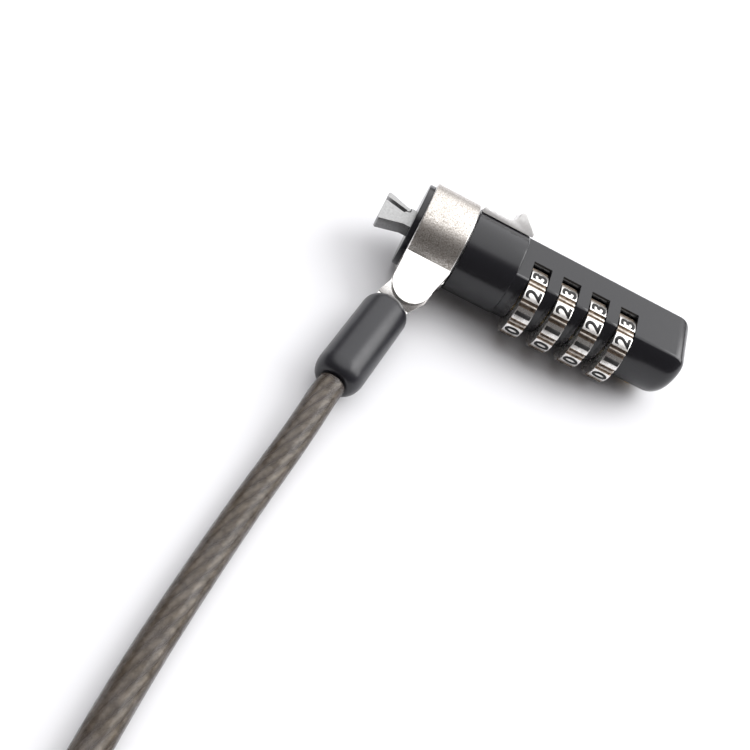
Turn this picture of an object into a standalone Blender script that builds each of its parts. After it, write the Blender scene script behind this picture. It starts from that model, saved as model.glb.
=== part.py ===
"""A combination cable lock for a laptop's security slot.

The lock lies on a surface at z = 0, with its long axis along +X from the anchor to the rear end, and
its cable leaves towards -Y. Sizes are in metres. Inside the lock, places are given as w, the distance
from the lock axis towards -Y, and v, the height above the lock axis.
"""

import bmesh
import bpy
from math import acos, cos, pi, radians, sin, tau
from mathutils import Matrix, Vector
from mathutils.geometry import interpolate_bezier

# --- driving dimensions -------------------------------------------------------------------------
AXIS_Y = 0.00323            # the lock axis stands off the box centre, because the ear reaches to -Y
COLLAR_R = 0.0087
AXIS_Z = COLLAR_R           # the collar rests on the surface
GAP = 0.0003                # between pieces that touch
FIT = 0.00015               # running clearance
SEAM = 0.00012              # open line between the two housings

TIP_X = -0.0312
NOSE_X = (-0.0251, -0.0243)
COLLAR_X = (-0.0240, -0.0151)
BARREL_X = (-0.0148, -0.0045)
REAR_X = 0.0312
NOSE_R = 0.0079
JOURNAL_R = 0.0066
BARREL_R = 0.0079
BODY_R = 0.0077
FLAT_V = 0.00575            # height of the flat top over the lock axis
SEAM_V = -0.0038

DIAL_COUNT = 4
DIAL_X = -0.0003            # middle of the first dial
DIAL_PITCH = 0.006
DIAL_W, DIAL_V = 0.00435, -0.0006
DIAL_R = 0.00655
DIAL_WIDTH = 0.0033
DIGITS = 10
SLEEVE_R, SLEEVE_BORE_R = 0.0025, 0.0015
SPINDLE_R = 0.0012
FIN_REACH, GATE_REACH = 0.0014, 0.0021   # the fins stay inside the bores, so that any code can slide
SLIDE_TRAVEL = 0.0035

ANCHOR_HALF = 0.0013        # half the anchor's thickness
NECK_HALF = 0.0023
SLIDER_ANGLE = radians(137)  # from -Y over the top
YOKE_X = (-0.0108, -0.0088)
JAW_PIVOT = (-0.0266, -0.00165)

FIRST_DIGIT = radians(-9.5)  # where digit 0 stands at rest, from -Y over the top
SLEEVE_HALF = 0.0024
BORE_REACH = 0.0040          # half the length of a cutter that goes right through a dial

SCREW_PLACES = ((0.0027, -0.0043), (0.0262, -0.0030))
SCREW_TOP_V = -0.0026
KEEL_X = (-0.0050, 0.0270)
KEEL_W = (-0.0030, 0.0020)
RESET_X, RESET_W, RESET_R, RESET_STEM_R = 0.0262, 0.0012, 0.0019, 0.0008

EAR_TILT = radians(25)
CREASE_W, CREASE_V = 0.00844, 0.0021
EAR_THICK, SLOT_GAP, LOWER_EAR = 0.0015, 0.0020, 0.0012
EAR_DEPTH = EAR_THICK + SLOT_GAP + LOWER_EAR
EAR_R = 0.00375
RIVET_X, RIVET_L, RIVET_R = -0.0201, 0.0050, 0.0012
PLATE_THICK = 0.0014
CABLE_TURN = radians(10.3)   # the cable's end leans towards the anchor, turned about the rivet

CABLE_R = 0.00245
BOOT_X = RIVET_X - 0.0010
BOOT_Z = 0.00436
BOOT_W = (0.0164, 0.0377)
BOOT_R, BOOT_MOUTH_R = 0.0043, 0.0026
DOME, TAPER = 0.0032, 0.0030  # lengths of the boot's round front and of its round back
COIL_X, COIL_Y = 0.0010, -0.1306
COIL_MEAN_R, COIL_HALF, COIL_HEIGHT = 0.0280, 0.00735, 0.0147
TOP_Z = COIL_HEIGHT + GAP + CABLE_R


def dial_x(index):
    return DIAL_X + DIAL_PITCH * index


def spot(x, w, v):
    """A place in the lock, from its distances to the lock axis."""
    return Vector((x, AXIS_Y - w, AXIS_Z + v))


# --- helpers --------------------------------------------------------------------------------------
def clear_scene():
    for thing in list(bpy.data.objects):
        bpy.data.objects.remove(thing, do_unlink=True)


def finish(name, colour, roughness, metallic):
    made = bpy.data.materials.new(name)
    made.use_nodes = True
    shader = made.node_tree.nodes["Principled BSDF"]
    shader.inputs["Base Color"].default_value = (*colour, 1.0)
    shader.inputs["Roughness"].default_value = roughness
    shader.inputs["Metallic"].default_value = metallic
    return made


def add(name, bm, material=None):
    """Makes the bmesh an object in the scene, with its normals outwards."""
    bmesh.ops.remove_doubles(bm, verts=bm.verts, dist=1e-7)
    bmesh.ops.recalc_face_normals(bm, faces=bm.faces)
    mesh = bpy.data.meshes.new(name)
    bm.to_mesh(mesh)
    bm.free()
    thing = bpy.data.objects.new(name, mesh)
    bpy.context.scene.collection.objects.link(thing)
    if material:
        mesh.materials.append(material)
        mesh.shade_smooth()
        mesh.set_sharp_from_angle(angle=radians(35))
    return thing


def as_cutter(thing):
    thing.hide_render = True
    thing.display_type = "WIRE"
    return thing


def combine(thing, other, operation):
    change = thing.modifiers.new(f"{operation.lower()} {other.name}", "BOOLEAN")
    change.operation = operation
    change.object = as_cutter(other)
    change.solver = "EXACT"
    return thing


def cut(thing, *others):
    for other in others:
        combine(thing, other, "DIFFERENCE")
    return thing


def join(thing, *others):
    for other in others:
        combine(thing, other, "UNION")
    return thing


def prism(outline, lift, low, high):
    """A closed outline of 2-D points, extruded between two values of the third measure."""
    bm = bmesh.new()
    face = bm.faces.new([bm.verts.new(lift(a, b, low)) for a, b in outline])
    made = bmesh.ops.extrude_face_region(bm, geom=[face])
    moved = [part for part in made["geom"] if isinstance(part, bmesh.types.BMVert)]
    step = lift(0, 0, high) - lift(0, 0, low)
    bmesh.ops.translate(bm, verts=moved, vec=step)
    return bm


def spun(rim, centre, axis, steps):
    """A line of points spun about an axis. The first and the last ring are closed with a flat face."""
    bm = bmesh.new()
    verts = [bm.verts.new(place) for place in rim]
    edges = [bm.edges.new(pair) for pair in zip(verts, verts[1:])]
    bmesh.ops.spin(
        bm, geom=verts + edges, cent=centre, axis=axis, angle=tau, steps=steps,
        use_merge=True, use_duplicate=False,
    )
    bmesh.ops.remove_doubles(bm, verts=bm.verts, dist=1e-7)
    bmesh.ops.holes_fill(bm, edges=[edge for edge in bm.edges if edge.is_boundary], sides=0)
    return bm


def turned(profile, w=0.0, v=0.0, steps=48):
    """A line of (x, radius) points, spun about a line along X."""
    rim = [spot(x, w - radius, v) for x, radius in profile]
    return spun(rim, spot(0, w, v), (1, 0, 0), steps)


def along_x(w, v, x):
    return spot(x, w, v)


def arc(centre_a, centre_b, radius, start, end, steps):
    turns = [start + (end - start) * i / steps for i in range(steps + 1)]
    return [(centre_a + radius * cos(t), centre_b + radius * sin(t)) for t in turns]


def circle(centre_a, centre_b, radius, steps):
    return arc(centre_a, centre_b, radius, 0, tau * (steps - 1) / steps, steps - 1)


def rod(x_low, x_high, radius, w=0.0, v=0.0, steps=32):
    """A plain cylinder along X."""
    return prism(circle(w, v, radius, steps), along_x, x_low, x_high)


def block(x_range, w_range, v_range):
    low, high = w_range
    bottom, top = v_range
    return prism([(low, bottom), (high, bottom), (high, top), (low, top)], along_x, *x_range)


def pivot(name, place):
    """An empty on a joint's axis, which the moving pieces hang from."""
    empty = bpy.data.objects.new(name, None)
    empty.location = place
    bpy.context.scene.collection.objects.link(empty)
    return empty


def hang(empty, *things):
    for thing in things:
        thing.parent = empty
        thing.matrix_parent_inverse = Matrix.Translation(empty.location).inverted()


# --- housing ----------------------------------------------------------------------------------------
def body_outline():
    """The rear body's section: round, with a flat top."""
    half = acos(FLAT_V / BODY_R)
    return arc(0, 0, BODY_R, pi / 2 + half, 2.5 * pi - half, 40)


def body_solid(name):
    bm = prism(body_outline(), along_x, BARREL_X[1] - 0.001, REAR_X)
    top = [e for e in bm.edges if min(vert.co.z for vert in e.verts) > AXIS_Z + FLAT_V - 1e-6]
    along = [e for e in top if abs(e.verts[0].co.x - e.verts[1].co.x) > 0.001]
    bmesh.ops.bevel(
        bm, geom=along, offset=0.0007, segments=2, profile=0.5, affect="EDGES", material=-1
    )
    rear = [e for e in bm.edges if min(vert.co.x for vert in e.verts) > REAR_X - 1e-6]
    bmesh.ops.bevel(
        bm, geom=rear, offset=0.0030, segments=4, profile=0.5, affect="EDGES", material=-1
    )
    return add(name, bm)


def barrel_solid(name):
    front, back = BARREL_X
    lip = 0.0004
    profile = [
        (front, BARREL_R - lip / 2), (front + lip / 2, BARREL_R),
        (back - lip, BARREL_R), (back - lip / 3, BARREL_R - lip / 3), (back, BARREL_R - lip),
    ]
    return add(name, turned(profile, steps=56))


def hollows():
    """Everything that is cut from both housings."""
    front = BARREL_X[0] - 0.001
    rest = (BARREL_X[0] + 0.0031, BARREL_X[1] - 0.0007)
    bore = [
        (front, JOURNAL_R + GAP), (rest[0], JOURNAL_R + GAP), (rest[0], JOURNAL_R),
        (rest[1], JOURNAL_R),
    ]
    made = [add("cut_barrel", turned(bore))]
    made.append(add("cut_spindle_tunnel", rod(-0.0055, 0.0284, SLEEVE_R + GAP, DIAL_W, DIAL_V)))
    half = DIAL_WIDTH / 2 + 0.0002
    for i in range(DIAL_COUNT):
        x = dial_x(i)
        slot = rod(x - half, x + half, DIAL_R + GAP, DIAL_W, DIAL_V, 48)
        made.append(add(f"cut_dial_{i + 1}", slot))
        window = block((x - half, x + half), (0.0, DIAL_W), (0.0, 0.009))
        made.append(add(f"cut_window_{i + 1}", window))
    pocket = block((dial_x(0) - 0.0028, dial_x(3) + 0.0028), (-0.0035, -0.0020), (-0.0024, 0.0012))
    made.append(add("cut_detent_pocket", pocket))
    return made


def slider_frame(x, across, out):
    """A place by the thumb slider: across its width, and out from the lock axis."""
    turn = SLIDER_ANGLE
    return spot(x, out * cos(turn) - across * sin(turn), out * sin(turn) + across * cos(turn))


def slider_lift(x, out, across):
    return slider_frame(x, across, out)


def slot_cutter():
    outline = [(-0.0112, 0.004), (-0.0047, 0.004), (-0.0047, 0.0095), (-0.0112, 0.0095)]
    return add("cut_slider_slot", prism(outline, slider_lift, -0.0014, 0.0014))


def upright_rod(x, w, low_v, high_v, radius, steps=20):
    return prism(circle(x, w, radius, steps), spot, low_v, high_v)


def housings(black, cutters):
    upper = body_solid("upper_housing")
    upper.data.materials.append(black)
    join(upper, barrel_solid("upper_barrel"))
    below = add("cut_below_seam", block((-0.02, 0.04), (-0.02, 0.02), (-0.02, SEAM_V + SEAM / 2)))
    cut(upper, below, *cutters, slot_cutter())

    lower = body_solid("lower_housing")
    lower.data.materials.append(black)
    join(lower, barrel_solid("lower_barrel"))
    keel = [
        (KEEL_W[0], -AXIS_Z), (KEEL_W[1], -AXIS_Z), (KEEL_W[1] + 0.0012, -0.0066),
        (0.0, -0.0050), (KEEL_W[0] - 0.0012, -0.0066),
    ]
    join(lower, add("keel", prism(keel, along_x, *KEEL_X)))
    above = add("cut_above_seam", block((-0.02, 0.04), (-0.02, 0.02), (SEAM_V - SEAM / 2, 0.02)))
    cut(lower, above, *cutters)

    for index, (x, w) in enumerate(SCREW_PLACES, 1):
        hole = add(f"cut_screw_{index}", upright_rod(x, w, -0.0100, SCREW_TOP_V + GAP, 0.0010))
        head = add(f"cut_screw_head_{index}", upright_rod(x, w, -0.0100, -0.0057, 0.0018))
        cut(lower, hole, head)
        cut(upper, hole)
    reset = upright_rod(RESET_X, RESET_W, -0.0100, -0.0060, RESET_R + FIT)
    stem = upright_rod(RESET_X, RESET_W, -0.0100, -0.0030, RESET_STEM_R + FIT)
    cut(lower, add("cut_reset", reset), add("cut_reset_stem", stem))
    return upper, lower


def screws(steel):
    made = []
    for index, (x, w) in enumerate(SCREW_PLACES, 1):
        shank = add(f"housing_screw_{index}", upright_rod(x, w, -0.0062, SCREW_TOP_V, 0.0008), steel)
        head = add(f"screw_head_{index}", upright_rod(x, w, -0.0070, -0.0060, 0.0015))
        recess = add(f"cut_drive_{index}", upright_rod(x, w, -0.0080, -0.0066, 0.0006, 6))
        made.append(cut(join(shank, head), recess))
    return made


def reset_selector(brass):
    """The slotted button underneath that is turned to set a new code."""
    button = upright_rod(RESET_X, RESET_W, -0.0080, -0.0063, RESET_R, 28)
    selector = add("reset_selector", button, brass)
    stem = upright_rod(RESET_X, RESET_W, -0.0065, -0.0042, RESET_STEM_R)
    join(selector, add("reset_stem", stem))
    half = 0.00035
    slot = block((RESET_X - 0.004, RESET_X + 0.004), (RESET_W - half, RESET_W + half), (-0.009, -0.0074))
    cut(selector, add("cut_coin_slot", slot))
    hang(pivot("reset_axis", spot(RESET_X, RESET_W, -0.006)), selector)
    return selector


# --- front end --------------------------------------------------------------------------------------
def nose_disc(black):
    low, high = NOSE_X
    profile = [(low, NOSE_R - 0.0002), (low + 0.0002, NOSE_R), (high, NOSE_R)]
    disc = add("nose_disc", turned(profile, steps=56), black)
    slot = block((low - 0.001, high + 0.001), (-NECK_HALF - GAP, NECK_HALF + GAP),
                 (-ANCHOR_HALF - GAP, ANCHOR_HALF + GAP))
    return cut(disc, add("cut_nose_slot", slot))


def core_block(zinc):
    """The die-cast journal that the collar turns on, clamped between the housings."""
    core = add("core_block", rod(COLLAR_X[0], BARREL_X[0] + 0.0028, JOURNAL_R, steps=48), zinc)
    socket = block((-0.025, -0.0212), (-NECK_HALF - GAP, NECK_HALF + GAP),
                   (-ANCHOR_HALF - GAP, ANCHOR_HALF + GAP))
    channel = block((-0.022, -0.010), (-0.0014, 0.0014), (-0.0009, 0.0009))
    return cut(core, add("cut_anchor_socket", socket), add("cut_draw_bar", channel))


def fixed_anchor(steel):
    """The flared plate that goes into the slot. The jaw swings in the notch beside its neck."""
    outline = [
        (-0.0215, NECK_HALF), (-0.0264, NECK_HALF), (TIP_X + 0.0003, 0.0038), (TIP_X, 0.0035),
        (TIP_X, -0.0012), (TIP_X + 0.0003, -0.00135), (-0.0272, -0.0005), (-0.0268, -0.0009),
    ]
    notch = arc(*JAW_PIVOT, 0.00066, radians(105), radians(-60), 8)
    outline += notch + [(-0.0258, -NECK_HALF), (-0.0215, -NECK_HALF)]
    return add("fixed_anchor", prism(outline, spot, -ANCHOR_HALF, ANCHOR_HALF), steel)


def moving_jaw(steel):
    """The narrow finger that spreads the anchor's tip, hinged at the neck."""
    x, w = JAW_PIVOT
    outline = arc(x, w, 0.00048, radians(95), radians(-95), 8)
    outline += [
        (-0.0271, -0.0022), (TIP_X + 0.0004, -0.0036), (TIP_X, -0.0034), (TIP_X, -0.0024),
        (TIP_X + 0.0003, -0.00225), (-0.0270, -0.0014),
    ]
    jaw = add("moving_jaw", prism(outline, spot, -ANCHOR_HALF, ANCHOR_HALF), steel)
    hang(pivot("jaw_axis", spot(x, w, 0)), jaw)
    return jaw


# --- slide: slider, yoke, spindle -----------------------------------------------------------------
def thumb_slider(nickel):
    """The ribbed slide on the far side of the barrel, with the hooked ridge for a fingertip."""
    top = [
        (-0.0146, 0.0083), (-0.0144, 0.0087), (-0.0140, 0.0087), (-0.0135, 0.00845), (-0.0131, 0.00845),
        (-0.0127, 0.00875), (-0.0123, 0.0087), (-0.0119, 0.0085), (-0.0113, 0.00865), (-0.0104, 0.00855),
        (-0.0095, 0.0086), (-0.0089, 0.0088), (-0.0084, 0.0092), (-0.0082, 0.0099), (-0.0081, 0.0105),
        (-0.0077, 0.01085), (-0.0072, 0.01085), (-0.0068, 0.0105), (-0.0043, 0.0083),
    ]
    outline = top + [(-0.0043, 0.0070), (-0.0146, 0.0070)]
    half = 0.0029
    slider = add("thumb_slider", prism(outline, slider_lift, -half, half), nickel)
    under = add("cut_under_slider", rod(-0.016, -0.003, BARREL_R + 0.0002, steps=64))
    cut(slider, under)
    stem = [(-0.0108, 0.0066), (-0.0088, 0.0066), (-0.0088, 0.0084), (-0.0108, 0.0084)]
    return join(slider, add("slider_stem", prism(stem, slider_lift, -0.0011, 0.0011)))


def slide_yoke(zinc):
    """The plate in the barrel that ties the slider, the draw bar and the spindle together."""
    yoke = add("slide_yoke", rod(*YOKE_X, 0.0062, steps=40), zinc)
    hole = add("cut_yoke_spindle", rod(-0.012, -0.008, SPINDLE_R + FIT, DIAL_W, DIAL_V, 24))
    return cut(yoke, hole)


def draw_bar(steel):
    bar = block((-0.0209, YOKE_X[0] - FIT), (-0.0011, 0.0011), (-0.0006, 0.0006))
    return add("draw_bar", bar, steel)


def fin_x(index):
    """A fin waits in the gap just ahead of its sleeve."""
    return dial_x(index) - DIAL_PITCH / 2


def spindle(steel):
    """The pin through the dials, with a fin ahead of each sleeve's gate."""
    pin = add("spindle", rod(YOKE_X[0], 0.0212, SPINDLE_R, DIAL_W, DIAL_V, 24), steel)
    for i in range(DIAL_COUNT):
        x = fin_x(i)
        across = (DIAL_W - 0.0005, DIAL_W + 0.0005)
        fin = block((x - 0.0003, x + 0.0003), across, (DIAL_V, DIAL_V + FIN_REACH))
        join(pin, add(f"fin_{i + 1}", fin))
    return pin


def return_spring(steel):
    """A coil spring behind the spindle, as one wire."""
    turns, radius, wire = 4, 0.0018, 0.00025
    start, end = 0.0217, 0.0279
    line = bpy.data.curves.new("return_spring", "CURVE")
    line.dimensions = "3D"
    line.bevel_depth = wire
    line.bevel_resolution = 1
    line.use_fill_caps = True
    steps = turns * 12
    path = line.splines.new("POLY")
    path.points.add(steps)
    for i in range(steps + 1):
        t = i / steps
        place = spot(start + (end - start) * t, DIAL_W + radius * cos(tau * turns * t),
                     DIAL_V + radius * sin(tau * turns * t))
        path.points[i].co = (*place, 1.0)
    line.materials.append(steel)
    spring = bpy.data.objects.new("return_spring", line)
    bpy.context.scene.collection.objects.link(spring)
    return spring


# --- dials -----------------------------------------------------------------------------------------
def dial_outline():
    """Ten raised lands with a groove between each two."""
    land = [(offset, DIAL_R) for offset in (-12.5, -4.5, 4.5, 12.5)]
    groove = [(offset, DIAL_R - 0.0003) for offset in (15.5, 20.5)]
    outline = []
    for k in range(DIGITS):
        for offset, radius in land + groove:
            turn = tau * k / DIGITS + radians(offset)
            outline.append((DIAL_W + radius * cos(turn), DIAL_V + radius * sin(turn)))
    return outline


def dial_wheel(number, x, nickel):
    bm = prism(dial_outline(), along_x, x - DIAL_WIDTH / 2, x + DIAL_WIDTH / 2)
    turn = Matrix.Rotation(-FIRST_DIGIT, 3, "X")
    bmesh.ops.rotate(bm, verts=bm.verts, cent=spot(x, DIAL_W, DIAL_V), matrix=turn)
    bore = rod(x - BORE_REACH, x + BORE_REACH, SLEEVE_R + FIT, DIAL_W, DIAL_V)
    return cut(add(f"dial_{number}", bm, nickel), add(f"cut_dial_bore_{number}", bore))


def clutch_sleeve(number, x, brass):
    """The sleeve inside a dial, with the gate that a fin would pass."""
    barrel = rod(x - SLEEVE_HALF, x + SLEEVE_HALF, SLEEVE_R, DIAL_W, DIAL_V)
    reach = (x - BORE_REACH, x + BORE_REACH)
    bore = rod(*reach, SLEEVE_BORE_R, DIAL_W, DIAL_V, 24)
    gate = block(reach, (DIAL_W - 0.0008, DIAL_W + 0.0008), (DIAL_V, DIAL_V + GATE_REACH))
    sleeve = add(f"clutch_sleeve_{number}", barrel, brass)
    return cut(sleeve, add(f"cut_sleeve_{number}", bore), add(f"cut_gate_{number}", gate))


def dials(nickel, brass):
    for number in range(1, DIAL_COUNT + 1):
        x = dial_x(number - 1)
        dial = dial_wheel(number, x, nickel)
        sleeve = clutch_sleeve(number, x, brass)
        hang(pivot(f"dial_axis_{number}", spot(x, DIAL_W, DIAL_V)), dial, sleeve)


def detent_spring(steel):
    """The leaf beside the dials that drops into their grooves, one finger for each dial."""
    low, high = dial_x(0) - 0.0025, dial_x(DIAL_COUNT - 1) + 0.0025
    leaf = add("detent_spring", block((low, high), (-0.0033, -0.0030), (-0.0021, 0.0009)), steel)
    for i in range(DIAL_COUNT):
        x = dial_x(i)
        bump = block((x - 0.0012, x + 0.0012), (-0.0031, -0.0026), (-0.0010, -0.0002))
        join(leaf, add(f"detent_{i + 1}", bump))
    return leaf


# --- collar and cable end ----------------------------------------------------------------------------
def ear_place(x, along, depth):
    """A place on the ear: along it from the crease, and depth above its top face."""
    w = CREASE_W + along * cos(EAR_TILT) + depth * sin(EAR_TILT)
    v = CREASE_V - along * sin(EAR_TILT) + depth * cos(EAR_TILT)
    return spot(x, w, v)


def swivel_collar(nickel):
    front, back = COLLAR_X
    chamfer = 0.00025
    profile = [
        (front, COLLAR_R - chamfer), (front + chamfer, COLLAR_R),
        (back - chamfer, COLLAR_R), (back, COLLAR_R - chamfer),
    ]
    collar = add("swivel_collar", turned(profile, steps=64), nickel)
    outline = [(back - 0.0001, -0.0022), (front + 0.0001, -0.0022), (front + 0.0001, 0.0020)]
    outline += arc(-0.0202, RIVET_L, EAR_R, pi, 0, 16) + [(back - 0.0001, 0.0006)]
    ears = add("ears", prism(outline, ear_place, 0.0, -EAR_DEPTH))
    join(collar, ears)
    bore = add("cut_collar_bore", rod(front - 0.001, back + 0.001, JOURNAL_R + FIT, steps=64))
    ends, deep, open_side = (front - 0.002, back + 0.002), RIVET_L - 0.0041, 0.02
    slot = [(ends[0], deep), (ends[1], deep), (ends[1], open_side), (ends[0], open_side)]
    cleft = add("cut_ear_slot", prism(slot, ear_place, -EAR_THICK, -EAR_THICK - SLOT_GAP))
    hole = add("cut_ear_hole", ear_rod(RIVET_R + FIT, -0.0008, -EAR_DEPTH - 0.001))
    return cut(collar, bore, cleft, hole)


def ear_rod(radius, top, bottom, steps=24):
    return prism(circle(RIVET_X, RIVET_L, radius, steps), ear_place, top, bottom)


def ear_rivet(steel):
    return add("ear_rivet", ear_rod(RIVET_R, -0.0009, -EAR_DEPTH), steel)


def cable_terminal(steel):
    """The plate that pivots between the ears, bent level where it enters the boot."""
    mid = EAR_THICK + SLOT_GAP / 2
    half = 0.0037
    eye = arc(RIVET_X, RIVET_L, half, pi, tau, 16)
    outline = eye + [(RIVET_X + half, RIVET_L + 0.0016), (BOOT_X + 0.0033, RIVET_L + 0.0044),
                     (BOOT_X - 0.0033, RIVET_L + 0.0044), (RIVET_X - half, RIVET_L + 0.0016)]
    plate = prism(outline, ear_place, -mid + PLATE_THICK / 2, -mid - PLATE_THICK / 2)
    terminal = add("cable_terminal", plate, steel)
    level_v = BOOT_Z - AXIS_Z
    tail = block((BOOT_X - 0.0032, BOOT_X + 0.0032), (0.0152, 0.0203),
                 (level_v - PLATE_THICK / 2, level_v + PLATE_THICK / 2))
    join(terminal, add("terminal_tail", tail))
    return cut(terminal, add("cut_terminal_eye", ear_rod(RIVET_R + FIT, 0.001, -0.006)))


def along_y(profile, steps=40):
    """A line of (w, radius) points, spun about the boot's own line along Y."""
    centre = Vector((BOOT_X, 0, BOOT_Z))
    rim = [centre + Vector((0, AXIS_Y - w, radius)) for w, radius in profile]
    return spun(rim, centre, (0, 1, 0), steps)


def crimp_ferrule(aluminium):
    low, high = 0.0206, 0.0328
    profile = [(low, 0.0024), (low + 0.0003, 0.0027), (high - 0.0003, 0.0027), (high, 0.0024)]
    return add("crimp_ferrule", along_y(profile, 28), aluminium)


def cable_boot(black):
    low, high = BOOT_W
    dome_turns = [pi / 2 * i / 8 for i in range(1, 9)]
    dome = [(low + DOME * (1 - cos(t)), BOOT_R * sin(t)) for t in dome_turns]
    tail_turns = [pi / 2 * i / 5 for i in range(6)]
    narrow = BOOT_R - BOOT_MOUTH_R
    tail = [(high - TAPER * (1 - sin(t)), BOOT_MOUTH_R + narrow * cos(t)) for t in tail_turns]
    boot = add("cable_boot", along_y(dome + tail, 48), black)
    bore = add("cut_boot_bore", along_y([(0.0198, 0.0030), (0.0331, 0.0030)], 32))
    mouth = block((BOOT_X - 0.0035, BOOT_X + 0.0035), (0.0140, 0.0204),
                  (BOOT_Z - AXIS_Z - 0.0011, BOOT_Z - AXIS_Z + 0.0014))
    return cut(boot, bore, add("cut_boot_mouth", mouth))


def cable_turn():
    """The turn of the cable's end about the rivet."""
    centre = ear_place(RIVET_X, RIVET_L, 0)
    normal = ear_place(0, 0, 1) - ear_place(0, 0, 0)
    turn = Matrix.Rotation(-CABLE_TURN, 4, normal)
    return Matrix.Translation(centre) @ turn @ Matrix.Translation(-centre)


# --- cable -------------------------------------------------------------------------------------------
def smooth_line(route, spacing):
    """Points a fixed distance apart on a smooth curve through the route's points."""
    dense = []
    for i in range(len(route) - 1):
        before, start, end = route[max(i - 1, 0)], route[i], route[i + 1]
        after = route[min(i + 2, len(route) - 1)]
        reach = (end - start).length / 3
        lead = (end - before).normalized() * reach
        trail = (after - start).normalized() * reach
        dense += interpolate_bezier(start, start + lead, end - trail, end, 24)[:-1]
    dense.append(route[-1])
    total = sum((dense[i + 1] - dense[i]).length for i in range(len(dense) - 1))
    count = max(2, round(total / spacing))
    points, walked, target = [dense[0]], 0.0, total / count
    for i in range(len(dense) - 1):
        step = (dense[i + 1] - dense[i]).length
        while walked + step >= target * len(points) - 1e-9 and len(points) < count:
            t = (target * len(points) - walked) / step
            points.append(dense[i].lerp(dense[i + 1], t))
        walked += step
    return points + [dense[-1]]


def tube(name, points, radius, rubber):
    line = bpy.data.curves.new(name, "CURVE")
    line.dimensions = "3D"
    line.bevel_depth = radius
    line.bevel_resolution = 2
    line.use_fill_caps = True
    path = line.splines.new("POLY")
    path.points.add(len(points) - 1)
    for point, place in zip(path.points, points):
        point.co = (*place, 1.0)
    line.materials.append(rubber)
    thing = bpy.data.objects.new(name, line)
    bpy.context.scene.collection.objects.link(thing)
    return thing


# The run's own points after the boot, as x, y from the lock axis and z.
RUN = (
    (-0.02645, -0.0450, 0.00392), (-0.02735, -0.0515, 0.00312), (-0.02880, -0.0610, 0.00252),
    (-0.02990, -0.0695, 0.00246), (-0.03090, -0.0780, 0.00246), (-0.03170, -0.0860, 0.00246),
    (-0.03230, -0.0940, 0.00246), (-0.03265, -0.1020, 0.00246), (-0.03270, -0.1100, 0.00246),
    (-0.03250, -0.1168, 0.00246),
)
# The tail's points on top of the coil, as x, y from the coil's centre.
TAIL = (
    (-0.0317, 0.0060), (-0.0322, 0.0000), (-0.0314, -0.0060), (-0.0288, -0.0112), (-0.0250, -0.0147),
    (-0.0216, -0.0162), (-0.0190, -0.0165),
)
LOOP_START, LOOP_LENGTH, LOOP_WIDE = -0.0035, 0.0310, 0.0250
LOOP_Y = -0.0165


def cable_run(rubber, turn):
    start = turn @ Vector((BOOT_X, AXIS_Y - BOOT_W[1] - GAP, BOOT_Z))
    lead = turn @ Vector((BOOT_X, AXIS_Y - BOOT_W[1] - 0.0035, BOOT_Z))
    route = [start, lead] + [Vector((x, AXIS_Y + y, z)) for x, y, z in RUN]
    return tube("cable_run", smooth_line(route, 0.008), CABLE_R, rubber)


def cable_coil(rubber):
    inner, outer = COIL_MEAN_R - COIL_HALF, COIL_MEAN_R + COIL_HALF
    bevel = 0.0012
    profile = [
        (inner, bevel), (inner + bevel, 0.0), (outer - bevel, 0.0), (outer, bevel),
        (outer, COIL_HEIGHT - bevel), (outer - bevel, COIL_HEIGHT), (inner + bevel, COIL_HEIGHT),
        (inner, COIL_HEIGHT - bevel),
    ]
    centre = Vector((COIL_X, COIL_Y, 0))
    rim = [centre + Vector((radius, 0, height)) for radius, height in profile + profile[:1]]
    bm = spun(rim, centre, (0, 0, 1), 40)
    return add("cable_coil", bm, rubber)


def cable_tail(rubber):
    route = [Vector((COIL_X + x, COIL_Y + y, TOP_Z)) for x, y in TAIL]
    return tube("cable_tail", smooth_line(route, 0.0045), CABLE_R, rubber)


def end_loop(rubber):
    """The eye at the cable's far end, which goes round a desk leg and lets the lock pass through."""
    half = LOOP_WIDE / 2 - CABLE_R
    middle = LOOP_START + LOOP_LENGTH - LOOP_WIDE / 2
    low = LOOP_START + 0.0006
    upper = [
        (low, CABLE_R + 0.0002), (low + 0.0030, 0.0029), (low + 0.0065, 0.0048),
        (low + 0.0105, 0.0081),
    ]
    bow = arc(middle, 0, half, radians(100), radians(-100), 16)
    lower = [(x, -y) for x, y in reversed(upper)]
    places = [Vector((COIL_X + x, COIL_Y + LOOP_Y + y, TOP_Z)) for x, y in upper + bow + lower]
    return tube("end_loop", smooth_line(places, 0.0045), CABLE_R, rubber)


def loop_ferrule(aluminium):
    """The oval crimp that closes the eye."""
    low, high = -0.0181, LOOP_START
    half_y, half_z = 0.0054, 0.0029
    corner = half_y - half_z
    outline = arc(corner, 0, half_z, -pi / 2, pi / 2, 8)
    outline += arc(-corner, 0, half_z, pi / 2, 1.5 * pi, 8)
    centre = Vector((COIL_X, COIL_Y + LOOP_Y, COIL_HEIGHT + GAP + half_z))

    def lift(across, up, along):
        return centre + Vector((along, across, up))

    return add("loop_ferrule", prism(outline, lift, low, high), aluminium)


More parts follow.
